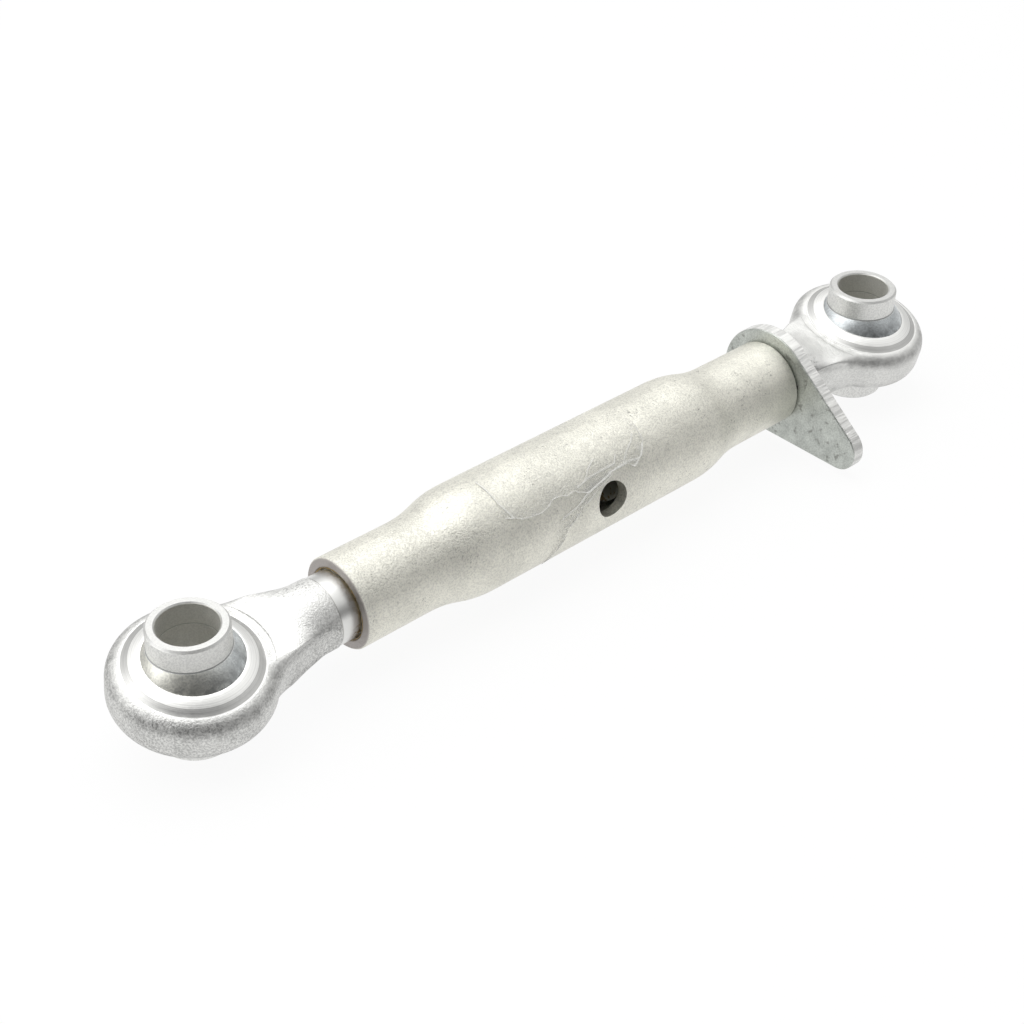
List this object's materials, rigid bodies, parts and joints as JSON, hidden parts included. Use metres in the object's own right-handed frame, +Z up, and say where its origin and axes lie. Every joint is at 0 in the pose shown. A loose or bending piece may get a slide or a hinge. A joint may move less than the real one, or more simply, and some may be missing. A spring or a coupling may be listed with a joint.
{
  "type": "tractor top link",
  "caption": "Adjustable top link for a tractor hitch: a swaged turnbuckle barrel that draws threaded, forged eye ends together, with swivel balls and a teardrop lock plate.",
  "frame": {"origin": "centre of the left ball's pin bore, midway between its two end faces", "axes": "+X along the barrel from the left ball to the right ball, +Z up along both pin bores, +Y across the link"},
  "size_m": [0.3642, 0.0713, 0.044],
  "materials": {
    "barrel_zinc": "bright zinc plate over a swaged tube, fine grain",
    "forging_zinc": "bright zinc plate over a shot-blasted forging, machined faces",
    "ball_zinc": "bluish zinc plate over a turned ball",
    "plate_zinc": "zinc plate over cut plate, sheared edges"
  },
  "bodies": {
    "left_end": {"left_eye_end": "forging_zinc"},
    "left_swivel": {"left_ball": "ball_zinc"},
    "plate": {"lock_plate": "plate_zinc"},
    "tube": {"barrel": "barrel_zinc"},
    "right_end": {"right_eye_end": "forging_zinc"},
    "right_swivel": {"right_ball": "ball_zinc"}
  },
  "joints": [
    {"name": "left_ball_tip", "type": "hinge", "parent": "left_end", "child": "left_swivel", "pos_m": [0, 0, 0], "axis": [1, 0, 0], "range_deg": [-2, 21]},
    {"name": "plate_slide", "type": "slide", "parent": "left_end", "child": "plate", "axis": [1, 0, 0], "range_m": [0, 0.0601]},
    {"name": "barrel_spin", "type": "hinge", "parent": "plate", "child": "tube", "pos_m": [0.1565, 0, 0], "axis": [1, 0, 0], "range_deg": [0, 7200]},
    {"name": "right_end_slide", "type": "slide", "parent": "left_end", "child": "right_end", "axis": [1, 0, 0], "range_m": [0, 0.1202]},
    {"name": "right_ball_tip", "type": "hinge", "parent": "right_end", "child": "right_swivel", "pos_m": [0.312, 0, 0], "axis": [1, 0, 0], "range_deg": [-2, 21]}
  ],
  "couplings": [
    {"joint": "plate_slide", "follows": "barrel_spin", "m_per_rad": 0.00047746},
    {"joint": "right_end_slide", "follows": "barrel_spin", "m_per_rad": 0.00095493}
  ]
}
